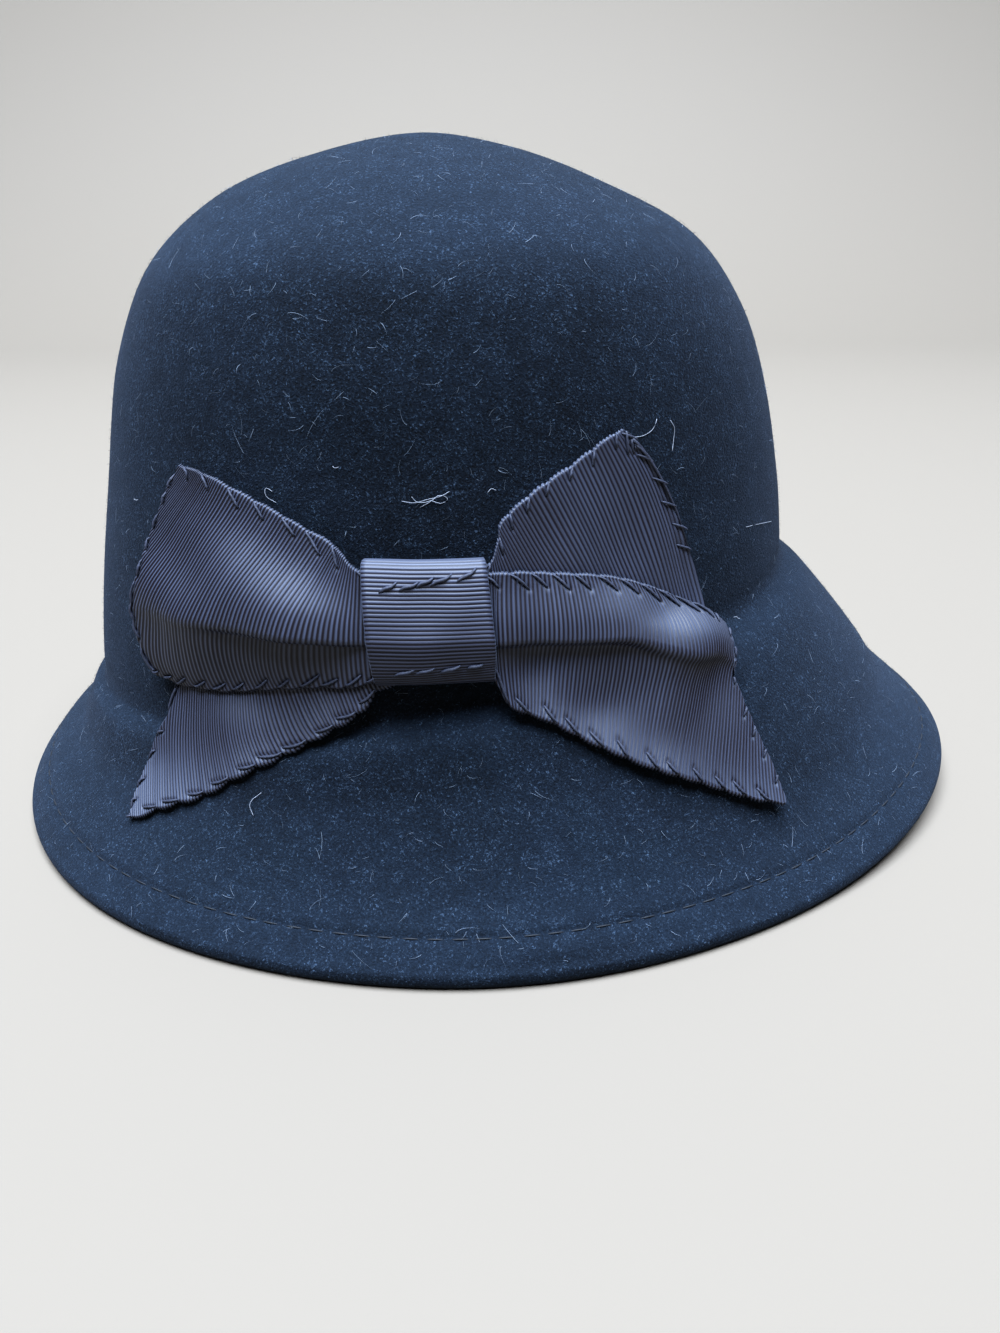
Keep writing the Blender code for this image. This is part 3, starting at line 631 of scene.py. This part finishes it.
# Overcast stitches on the four sides of the two strips, seen from the right. From the edge point the thread
# runs along the ribbon and in across it, in mm; pitch is the distance between stitches, scallop how far the
# edge swells between them. back is the side behind the knot and front before it; cut is the end beside it.
overcast = dict(
    upperTop=dict(back=dict(along=4.9, inset=2.8, pitch=7.4, scallop=0.4), backCut=None,
                  front=dict(along=3.3, inset=3.2, pitch=5.4, scallop=0.3),
                  frontCut=dict(along=-0.6, inset=3.4, pitch=6.3, scallop=0.7)),
    upperLow=dict(back=dict(along=3.4, inset=2.2, pitch=5.9, scallop=0.6),
                  backCut=dict(along=2.0, inset=1.8, pitch=5.6, scallop=1.1),
                  front=dict(along=-3.1, inset=2.6, pitch=6.4, scallop=0.55), frontCut=None),
    underTop=dict(back=None, backCut=dict(along=2.6, inset=2.7, pitch=6.8, scallop=0.9),
                  front=dict(along=-1.5, inset=2.4, pitch=6.0, scallop=0.45),
                  frontCut=dict(along=-3.0, inset=5.5, pitch=8.0, scallop=0.8)),
    underLow=dict(back=dict(along=-4.9, inset=1.7, pitch=7.5, scallop=1.0), backCut=None,
                  front=None, frontCut=None),
)
underEnd = dict(heights=[37.0, 32.0, 26.5, 21.0, 15.5, 10.5], past=1.7, inset=2.0, rise=1.7)
stitch = dict(radius=0.35, sides=6, stations=8, dent=0.3, dentWidth=0.55, pull=0.25,
              knotRadius=0.42, hemRadius=0.2, hemPitch=5.4, hemLength=4.2)


def sidePlan(border, cutShare, rules, seed):
    # Where the stitches fall along one side: the row of each, its rule, and how far the edge swells at every row
    random = np.random.default_rng(seed)
    distance = np.concatenate([[0], np.cumsum(np.linalg.norm(np.diff(border, axis=0), axis=1))])
    behind = border[:, 0] < bow["knotX"]
    isCut = cutShare > 0.01
    swell = np.zeros(len(border))
    picks = []
    for key, here in (("back", behind & ~isCut), ("backCut", behind & isCut),
                      ("front", ~behind & ~isCut), ("frontCut", ~behind & isCut)):
        rule = rules[key]
        if rule is None or not here.any():
            continue
        ends = distance[here][[0, -1]]
        marks = np.arange(ends[0] + 1.5, ends[1] - 0.8, rule["pitch"])
        marks = marks + random.uniform(-0.12, 0.12, len(marks)) * rule["pitch"]
        phase = np.interp(distance, marks, np.arange(len(marks)))
        swell += np.where(here, rule["scallop"] * (np.abs(np.sin(math.pi * phase)) ** 0.7) - stitch["pull"], 0)
        for row in np.interp(marks, distance, np.arange(len(border))):
            picks.append((row, rule["along"] * random.uniform(0.85, 1.15), rule["inset"] * random.uniform(0.85, 1.15)))
    picks = np.array([pick for pick in picks
                      if abs(border[int(pick[0]), 0] - bow["knotX"]) > bow["knotWidth"] / 2 - 1])
    return picks, swell


def overcastPaths(surface, normals, side, picks):
    # Threads from round the edge (side 0 or -1) to a point inside it, following the cloth
    share = np.linspace(0, 1, stitch["stations"])
    row, along, inset = picks.T
    rowStep = ribbonLook["ribMm"] / bow["ribSamples"]
    rows = np.clip(row[:, None] + along[:, None] / rowStep * share, 0, len(surface) - 1.01)
    across = np.cumsum(np.linalg.norm(np.diff(surface, axis=1), axis=-1), axis=1)
    across = np.concatenate([np.zeros((len(surface), 1)), across], 1)
    if side == -1:
        across = across[:, -1:] - across
    nearest = np.rint(rows).astype(int)
    columns = np.argmin(np.abs(across[nearest] - (inset[:, None] * share)[..., None]), axis=-1).astype(float)
    # Even out the steps of the nearest columns
    ends = columns[:, :1], columns[:, -1:]
    columns = ends[0] + (ends[1] - ends[0]) * share
    path = readGrid(surface, rows, columns)
    lift = -0.1 + 0.34 * np.sin(math.pi * np.clip(share * 0.85 + 0.15, 0, 1)) ** 0.6
    away = unit(path[:, 0] - path[:, 2])
    path = path + lift[:, None] * readGrid(normals, rows, columns)
    path[:, 0] += 0.3 * away - 0.3 * readGrid(normals, rows, columns)[:, 0]
    return path


def endThreads(surface, normals, cut, rule):
    # Threads over a cut end that runs along a rib: from its edge inwards and up, at each height, on the
    # nearest points of the cloth
    share = np.linspace(0, 1, stitch["stations"])
    heights = np.array(rule["heights"])[:, None]
    edge = np.interp(-heights / bow["width"], -np.array(cut["z"]), cut["x"]) * bow["reach"]
    x = bow["knotX"] + edge + rule["past"] - (rule["past"] + rule["inset"]) * share
    z = bow["knotZ"] + heights + rule["rise"] * share
    cloth, away = surface.reshape(-1, 3), normals.reshape(-1, 3)
    nearest = np.argmin((x[..., None] - cloth[:, 0]) ** 2 + (z[..., None] - cloth[:, 2]) ** 2, axis=-1)
    lift = -0.1 + 0.34 * np.sin(math.pi * np.clip(share * 0.85 + 0.15, 0, 1)) ** 0.6
    return np.stack([x, cloth[nearest, 1], z], -1) + lift[:, None] * away[nearest]


def pressedIn(surface, normals, paths):
    # Each tight thread presses a short groove into the cloth, a Gaussian of the distance from its middle line
    depth = np.zeros(surface.shape[:2])
    for path in paths:
        start, line = path[1], path[-1] - path[1]
        t = np.clip((surface - start) @ line / (line @ line), 0, 1)
        away = np.linalg.norm(surface - start - t[..., None] * line, axis=-1)
        depth = np.maximum(depth, stitch["dent"] * np.exp(-(away / stitch["dentWidth"]) ** 2))
    return surface - depth[..., None] * normals


def makeRibbon(name, node, table, cuts, stack, sides, end, material):
    # Surface of two parameters, distance along the ribbon and share across it, laid on the felt, with a rib
    # every few rows; then its thickness, as a closed ring of outer points, edge, inner points, edge
    rows, stops = ribRows(table)
    kept, first, last = trimmed(rows, cuts)
    rows, stops = rows[kept], stops[kept]
    share = np.linspace(0, 1, bow["columns"] + 1)
    share = share - bow["crowding"] * np.sin(2 * math.pi * share) / (2 * math.pi)
    t = first[:, None] + (last - first)[:, None] * share
    along, up = ribPoint(rows, t)
    ridge, sag = pleat(t, along, rows[:, 6:7])
    wave = 0.45 * softNoise(np.stack([along, up, 0 * up], -1), 22, 11)
    lift = bow["looseness"] + stack + overKnotBack(along) + ridge + wave + 0.25
    middle = onFelt(along, up - sag, lift)
    sideways = unit(np.gradient(middle, axis=1))
    ribShape = ribProfile(len(rows), 41)[:, None]
    fromEdge = np.cumsum(np.linalg.norm(np.diff(middle, axis=1, prepend=middle[:, :1]), axis=-1), axis=1)
    plans = []
    for side, cutShare, rules, seed in ((0, first, sides[0], 31), (-1, 1 - last, sides[1], 32)):
        picks, swell = sidePlan(middle[:, side], cutShare, rules, seed)
        reach = np.abs(fromEdge - fromEdge[:, side:][:, :1] if side else fromEdge)
        push = swell[:, None] * np.exp(-reach / 1.6)
        middle = middle + (push if side else -push)[..., None] * sideways
        plans.append((side, picks))
    normals = -gridNormals(middle)
    rib = bow["ribHeight"] * ribShape[..., None]
    outer = middle + (bow["thickness"] / 2 + rib) * normals
    inner = (middle - bow["thickness"] / 2 * normals)[:, ::2]
    paths = [overcastPaths(outer, normals, side, picks) for side, picks in plans]
    if end:
        paths.append(endThreads(outer, normals, cuts["front"], end))
    paths = np.concatenate(paths)
    outer = pressedIn(outer, normals, paths)
    bulge = 0.25 + 2.2 * rib[:, 0]
    topEdge = (middle[:, 0] - bulge * sideways[:, 0])[:, None]
    lowEdge = (middle[:, -1] + bulge * sideways[:, -1])[:, None]
    ring = np.concatenate([outer, lowEdge, inner[:, ::-1], topEdge], axis=1)
    width = np.concatenate([fromEdge, fromEdge[:, -1:], fromEdge[:, ::-2], fromEdge[:, :1]], 1)
    stretch = np.stack([np.broadcast_to(stops[:, None], width.shape), width], -1) * mm
    count = ring.shape[1]
    faces = gridQuads(len(ring), count, True)[:, ::-1].tolist()
    # The two ends: each inner point faces two outer ones
    outerEnd = np.arange(0, bow["columns"], 2)
    innerEnd = count - 2 - outerEnd // 2
    for base, turn in ((0, 1), ((len(ring) - 1) * count, -1)):
        for a, b in zip(outerEnd, innerEnd):
            faces.append([base + int(i) for i in (a, a + 1, a + 2, b - 1, b)][::turn])
        faces.append([base + i for i in (bow["columns"], bow["columns"] + 1, bow["columns"] + 2)][::turn])
        faces.append([base + i for i in (count - 1, 0, count - 2)][::turn])
    piece = makePiece(name, ring * mm, faces, material, stretch)
    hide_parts(node)
    return piece, paths


def knotRoof(up):
    # The front of the band is drawn into a blunt ridge: straight falls up and down from it, rounded by a root
    half = bow["knotHeight"] / 2
    off = up - knotBand["roofAt"]
    side = np.where(off > 0, half - knotBand["roofAt"], half + knotBand["roofAt"])
    return knotBand["roof"] * np.clip(1.03 - np.sqrt((off / side) ** 2 + 0.003), 0, 1)


def makeKnot(material):
    # Flattened tube: superellipse rings (fourth powers) carried across the knot's width, with ribs round it.
    # It starts and ends at the back, where the band is sewn together.
    ribs = knotBand["ribs"]
    rowCount = ribs * bow["ribSamples"]
    turn = np.linspace(math.pi, 3 * math.pi, 2001)
    roundUp = np.sign(np.sin(turn)) * np.abs(np.sin(turn)) ** 0.5 * bow["knotHeight"] / 2
    roundOut = np.sign(np.cos(turn)) * np.abs(np.cos(turn)) ** 0.5 * bow["knotDepth"] / 2
    distance = np.concatenate([[0], np.cumsum(np.hypot(np.diff(roundUp), np.diff(roundOut)))])
    stops = np.arange(rowCount) / rowCount * distance[-1]
    up = np.interp(stops, distance, roundUp)[:, None]
    out = np.interp(stops, distance, roundOut)[:, None]
    out = out + np.where(out > 0, knotRoof(up), 0)
    across = np.linspace(-0.5, 0.5, knotBand["columns"] + 1)[None] * bow["knotWidth"]
    along = across - bow["knotLean"] * up / bow["knotHeight"]
    up = up + 0 * across
    middle = onFelt(along, up, knotBand["offFelt"] + bow["knotDepth"] / 2 + out + 0 * across)
    middle = middle + 0.12 * softNoise(middle, 14, 21)[..., None] * (0, 1, 0)
    normals = unit(np.cross(np.gradient(middle, axis=1), np.roll(middle, -1, 0) - np.roll(middle, 1, 0)))
    rib = bow["ribHeight"] * ribProfile(rowCount, 42)[:, None, None]
    outer = middle + rib * normals
    inner = middle - bow["thickness"] * normals
    sideways = unit(np.gradient(middle, axis=1))
    centre = middle - bow["thickness"] / 2 * normals
    backEdge = (centre[:, 0] - 0.3 * sideways[:, 0])[:, None]
    frontEdge = (centre[:, -1] + 0.3 * sideways[:, -1])[:, None]
    rings = np.concatenate([outer, frontEdge, inner[:, ::-1], backEdge], axis=1)
    quads = gridQuads(rowCount + 1, rings.shape[1], True)[:, ::-1]
    width = np.concatenate([across[0], across[0, -1:], across[0, ::-1], across[0, :1]])
    length = np.arange(rowCount + 1) / bow["ribSamples"] * ribbonLook["ribMm"]
    stretch = np.stack(np.meshgrid(length, width, indexing="ij"), -1).reshape(-1, 2) * mm
    piece = makePiece("knot_band", rings * mm, (quads % (rowCount * rings.shape[1])).tolist(), material,
                      stretch[quads.ravel()])
    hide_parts("bow_knot")
    return piece


print("making the bow")
underMaterial = ribbedGrosgrain("grosgrain ribbon under", ribbonLook["ridge"])
upperMaterial = ribbedGrosgrain("grosgrain ribbon upper", ribbonLook["ridge"])
knotMaterial = ribbedGrosgrain("grosgrain ribbon knot", "#3f4454")
under, underPaths = makeRibbon("under_ribbon_cloth", "bow_under_ribbon", underRibs, underCuts, 0.0,
                               (overcast["underTop"], overcast["underLow"]), underEnd, underMaterial)
upper, upperPaths = makeRibbon("upper_ribbon_cloth", "bow_upper_ribbon", upperRibs, upperCuts, 1.3,
                               (overcast["upperTop"], overcast["upperLow"]), None, upperMaterial)
knot = makeKnot(knotMaterial)


# Stitches
# Slanting stitches on the knot's face: from and to, in mm from the knot's middle
knotStitches = [
    dict(x=(-9.9, -6.3), z=(7.7, 10.1)), dict(x=(-5.9, -1.9), z=(8.2, 10.2)), dict(x=(-2.4, 1.2), z=(9.0, 11.2)),
    dict(x=(0.4, 4.8), z=(9.3, 11.7)), dict(x=(5.7, 9.9), z=(9.9, 12.8)),
    dict(x=(-7.7, -3.2), z=(-10.5, -8.5)), dict(x=(-3.2, 0.8), z=(-10.1, -8.4)), dict(x=(2.0, 6.1), z=(-10.1, -8.1)),
    dict(x=(7.5, 10.8), z=(-9.4, -8.3)),
]


def threadRadius(count, full):
    # Thick in the middle and thin where it dives into the cloth
    station = np.linspace(0, 1, stitch["stations"])
    return full * (0.45 + 0.55 * np.sin(math.pi * station) ** 0.7) * np.ones((count, 1))


def makeThread(name, paths, full, material):
    points, faces = tubes(paths, threadRadius(len(paths), full), stitch["sides"])
    return makePiece(name, points * mm, faces, material)


def knotThreads():
    # Straight stitches on the knot's face, bowed outwards and sunk at both ends
    share = np.linspace(0, 1, stitch["stations"])
    x = np.array([row["x"] for row in knotStitches])
    z = np.array([row["z"] for row in knotStitches])
    along = x[:, :1] + (x[:, 1:] - x[:, :1]) * share
    up = z[:, :1] + (z[:, 1:] - z[:, :1]) * share + 0.25 * np.sin(2 * math.pi * share)
    corner = 1 - np.abs(2 * up / bow["knotHeight"]) ** 4
    face = knotBand["offFelt"] + bow["knotDepth"] / 2 * (1 + np.clip(corner, 0, 1) ** 0.25) + knotRoof(up)
    lift = face + bow["ribHeight"] - 0.1 + 0.4 * np.sin(math.pi * share) ** 0.6
    return onFelt(along, up, lift)


def hemThreads(inside):
    # Running stitch along the seam ring, on the outside or on the inside of the brim
    ring = skin[seamRing]
    normal = skinNormals[seamRing]
    ring, normal = np.concatenate([ring, ring[:1]]), np.concatenate([normal, normal[:1]])
    distance = np.concatenate([[0], np.cumsum(np.linalg.norm(np.diff(ring, axis=0), axis=1))])
    count = int(distance[-1] / stitch["hemPitch"])
    share = np.linspace(0, 1, stitch["stations"])
    random = np.random.default_rng(8)
    start = np.arange(count) / count * distance[-1] + random.uniform(-0.3, 0.3, count)
    where = (start[:, None] + stitch["hemLength"] * share) % distance[-1]
    path = np.stack([np.interp(where, distance, ring[:, axis]) for axis in range(3)], -1)
    outward = unit(np.stack([np.interp(where, distance, normal[:, axis]) for axis in range(3)], -1))
    lift = -0.2 + 0.36 * np.sin(math.pi * share) ** 0.6
    if inside:
        lift = -hat["hemThickness"] - lift
    return path + lift[:, None] * outward


print("sewing")
ribbonThread = sewingThread("twisted ribbon thread", "#343949")
hemThread = sewingThread("twisted hem thread", "#131920")
makeThread("under_ribbon_stitches", underPaths, stitch["radius"], ribbonThread)
makeThread("upper_ribbon_stitches", upperPaths, stitch["radius"], ribbonThread)
makeThread("knot_stitches", knotThreads(), stitch["knotRadius"], ribbonThread)
makeThread("hem_stitches", np.concatenate([hemThreads(False), hemThreads(True)]), stitch["hemRadius"], hemThread)


# Loose fibres
fuzz = dict(
    fine=dict(count=33000, length=0.85, width=0.045, lie=0.10, stand=0.6, standShare=0.3, curl=0.35),
    stray=dict(count=2600, length=2.2, width=0.07, lie=0.30, stand=0.9, standShare=0.2, curl=0.6),
)


def fibreStrips(look, rings, stations, seed):
    # Flat tapered strips on the felt: a random way across the skin, curled by a quadratic, rising by a sine
    random = np.random.default_rng(seed)
    top, bottom = rings
    count = look["count"]
    wrappedSkin = np.concatenate([skin, skin[:, :1]], 1)
    wrappedNormals = np.concatenate([skinNormals, skinNormals[:, :1]], 1)
    down = np.diff(wrappedSkin, axis=0)[top:bottom, :-1]
    along = np.diff(wrappedSkin, axis=1)[top:bottom]
    cells = np.linalg.norm(np.cross(down, along), axis=-1)
    pick = random.choice(cells.size, count, p=(cells / cells.sum()).ravel())
    row = top + pick // cells.shape[1] + random.uniform(0, 1, count)
    column = pick % cells.shape[1] + random.uniform(0, 1, count)
    base, normal = readGrid(wrappedSkin, row, column), unit(readGrid(wrappedNormals, row, column))
    way = random.normal(size=(count, 3))
    way = unit(way - (way * normal).sum(-1, keepdims=True) * normal)
    beside = np.cross(normal, way)
    length = look["length"] * random.lognormal(0, 0.4, count)
    standing = random.uniform(size=count) < look["standShare"]
    height = np.where(standing, look["stand"] * random.uniform(0.4, 1.3, count),
                      look["lie"] * random.uniform(0.2, 2, count))
    curl = random.normal(0, look["curl"], count) * length
    share = np.linspace(0, 1, stations)
    reach = np.where(standing, 0.6, 1.0)[:, None] * length[:, None] * share
    path = (base[:, None] + reach[..., None] * way[:, None] + (curl[:, None] * share ** 2)[..., None] * beside[:, None]
            + (height[:, None] * np.sin(share * 1.9) - 0.03)[..., None] * normal[:, None])
    half = 0.5 * look["width"] * random.uniform(0.6, 1.4, count)[:, None] * (1 - 0.7 * share ** 2)
    flat = unit(beside + 0.5 * random.normal(size=(count, 1)) * normal)
    points = np.stack([path - half[..., None] * flat[:, None], path + half[..., None] * flat[:, None]], 2)
    strip = np.array([[2 * i, 2 * i + 2, 2 * i + 3, 2 * i + 1] for i in range(stations - 1)])
    faces = (np.arange(count)[:, None, None] * 2 * stations + strip).reshape(-1, 4)
    return points * mm, faces.tolist()


# Lint on the right side: points in mm from the knot's middle
lint = [
    dict(x=[-5.7, -2.8, -0.2, 2.7, 4.7], z=[26.4, 26.0, 26.7, 27.3, 28.3]),
    dict(x=[-1.8, 0.5, 2.6, 4.4, 3.0, 1.0], z=[25.0, 26.2, 27.6, 26.8, 25.8, 26.4]),
    dict(x=[-3.5, -2.6, -0.8, 1.2], z=[27.3, 26.3, 26.1, 26.6]),
    dict(x=[44.0, 45.9, 48.8, 50.5, 51.5], z=[37.7, 37.1, 37.2, 38.2, 40.3]),
    dict(x=[55.2, 55.9, 56.1, 55.4], z=[39.6, 37.8, 35.4, 32.9]),
    dict(x=[77.4, 81.0, 85.0, 90.0], z=[10.6, 9.8, 8.7, 6.5]),
    dict(x=[-41.0, -43.3, -43.7, -42.9], z=[-40.5, -42.2, -43.7, -45.0]),
    dict(x=[-35.0, -36.7, -36.4, -34.4], z=[27.2, 27.7, 25.9, 24.8]),
    dict(x=[-20.8, -20.1, -19.4], z=[33.4, 33.1, 33.3]),
    dict(x=[74.0, 74.8, 75.4], z=[-9.3, -9.5, -10.1]),
    dict(x=[-74.6, -74.1, -73.5], z=[19.3, 19.1, 19.4]),
    dict(x=[13.0, 13.9, 14.9], z=[27.8, 28.6, 28.2]),
]


def lintPaths():
    paths = []
    for hair in lint:
        points = np.stack([hair["x"], hair["z"]], -1).astype(float)
        fine = curveThrough(points, 2 * points[0] - points[1], 2 * points[-1] - points[-2], [6] * (len(points) - 1))
        share = np.linspace(0, 1, 12)
        line = np.stack([np.interp(share, np.linspace(0, 1, len(fine)), fine[:, axis]) for axis in (0, 1)], -1)
        paths.append(onFelt(line[:, 0], line[:, 1], 0.35 + 0.25 * np.sin(share * 9 + hair["x"][0])))
    return np.array(paths)


print("brushing up the nap")
crownEnd = seamRing - hat["stitchRings"] - hat["brimRings"]
nap = looseFibre("dark wool nap", "#182431")
stray = looseFibre("pale wool fibre", "#76828f")
for name, look, rings, stations, material, seed in (
        ("crown_nap", fuzz["fine"], (2, crownEnd), 3, nap, 51), ("brim_nap", fuzz["fine"], (crownEnd, len(skin) - 2), 3, nap, 52),
        ("stray_fibres", fuzz["stray"], (2, len(skin) - 2), 6, stray, 53)):
    points, faces = fibreStrips(look, rings, stations, seed)
    makePiece(name, points, faces, material)
paths = lintPaths()
points, faces = tubes(paths, np.full(paths.shape[:2], 0.07), 5)
makePiece("lint", points * mm, faces, looseFibre("white lint", "#aab0ba"))


# Floor, light and camera

def makeStage():
    # Plain pale floor that sweeps up behind the hat in a quarter circle
    radius, back, side = 0.6, 0.9, 1.8
    bend = np.linspace(0, math.pi / 2, 24)
    depth = np.concatenate([[-1.8], back + radius * np.sin(bend), [back + radius]])
    height = np.concatenate([[0.0], radius - radius * np.cos(bend), [2.6]])
    points = np.array([[(x, y, z) for x in (-side, side)] for y, z in zip(depth, height)])
    mesh = bpy.data.meshes.new("floor")
    mesh.from_pydata(points.reshape(-1, 3).tolist(), [], gridQuads(len(depth), 2, False)[:, ::-1].tolist())
    mesh.shade_smooth()
    floor = bpy.data.objects.new("floor", mesh)
    bpy.context.scene.collection.objects.link(floor)
    material, tree, shader = newMaterial("pale matt paper")
    shader.inputs["Base Color"].default_value = linearColor("#726a5e")
    shader.inputs["Roughness"].default_value = 0.8
    mesh.materials.append(material)


def makeLight(name, place, target, size, power, color):
    light = bpy.data.lights.new(name, "AREA")
    light.shape = "DISK"
    light.size = size
    light.energy = power
    light.color = linearColor(color)[:3]
    thing = bpy.data.objects.new(name, light)
    bpy.context.scene.collection.objects.link(thing)
    back = unit(np.array(place) - np.array(target))
    right = unit(np.cross((0, 1, 0) if abs(back[2]) > 0.9 else (0, 0, 1), back))
    thing.matrix_world = Matrix([[*row, at] for row, at in zip(np.stack([right, np.cross(back, right), back], 1), place)] + [[0, 0, 0, 1]])


def makeCamera():
    # At the photograph's angle: level with the crown, tipped down, a wide phone lens close by
    camera = bpy.data.cameras.new("camera")
    camera.sensor_fit = "VERTICAL"
    camera.sensor_height = 36
    camera.lens = 27.2
    camera.clip_start = 0.01
    thing = bpy.data.objects.new("camera", camera)
    bpy.context.scene.collection.objects.link(thing)
    thing.matrix_world = (Matrix.Translation((2.85 * mm, -292.1 * mm, 158.2 * mm))
                          @ Matrix.Rotation(math.radians(90 - 25), 4, "X") @ Matrix.Rotation(math.radians(-0.52), 4, "Z"))
    bpy.context.scene.camera = thing


print("making the stage")
makeStage()
makeLight("overhead softbox", (-0.1, -0.42, 2.6), (0, 0, 0.1), 2.4, 410, "#d9e7fd")
makeLight("front fill", (-0.4, -1.3, 0.5), (0, 0, 0.1), 0.9, 0.3, "#fff0e2")
makeLight("backdrop wash", (0, 0.7, 1.6), (0, 1.6, 0.5), 1.2, 14, "#e4eefc")
makeCamera()
world = bpy.data.worlds.new("studio")
bpy.context.scene.world = world
world.use_nodes = True
world.node_tree.nodes["Background"].inputs["Color"].default_value = linearColor("#dfe7f2")
# The camera sees a pale studio, while little of it lights the hat
path = addNode(world.node_tree, "ShaderNodeLightPath")
strength = addNode(world.node_tree, "ShaderNodeMapRange", None,
                   {"Value": path.outputs["Is Camera Ray"], "To Min": 0.03, "To Max": 0.75})
world.node_tree.links.new(strength.outputs["Result"], world.node_tree.nodes["Background"].inputs["Strength"])
bpy.context.scene.view_settings.view_transform = "Standard"
bpy.context.scene.view_settings.look = "Medium High Contrast"
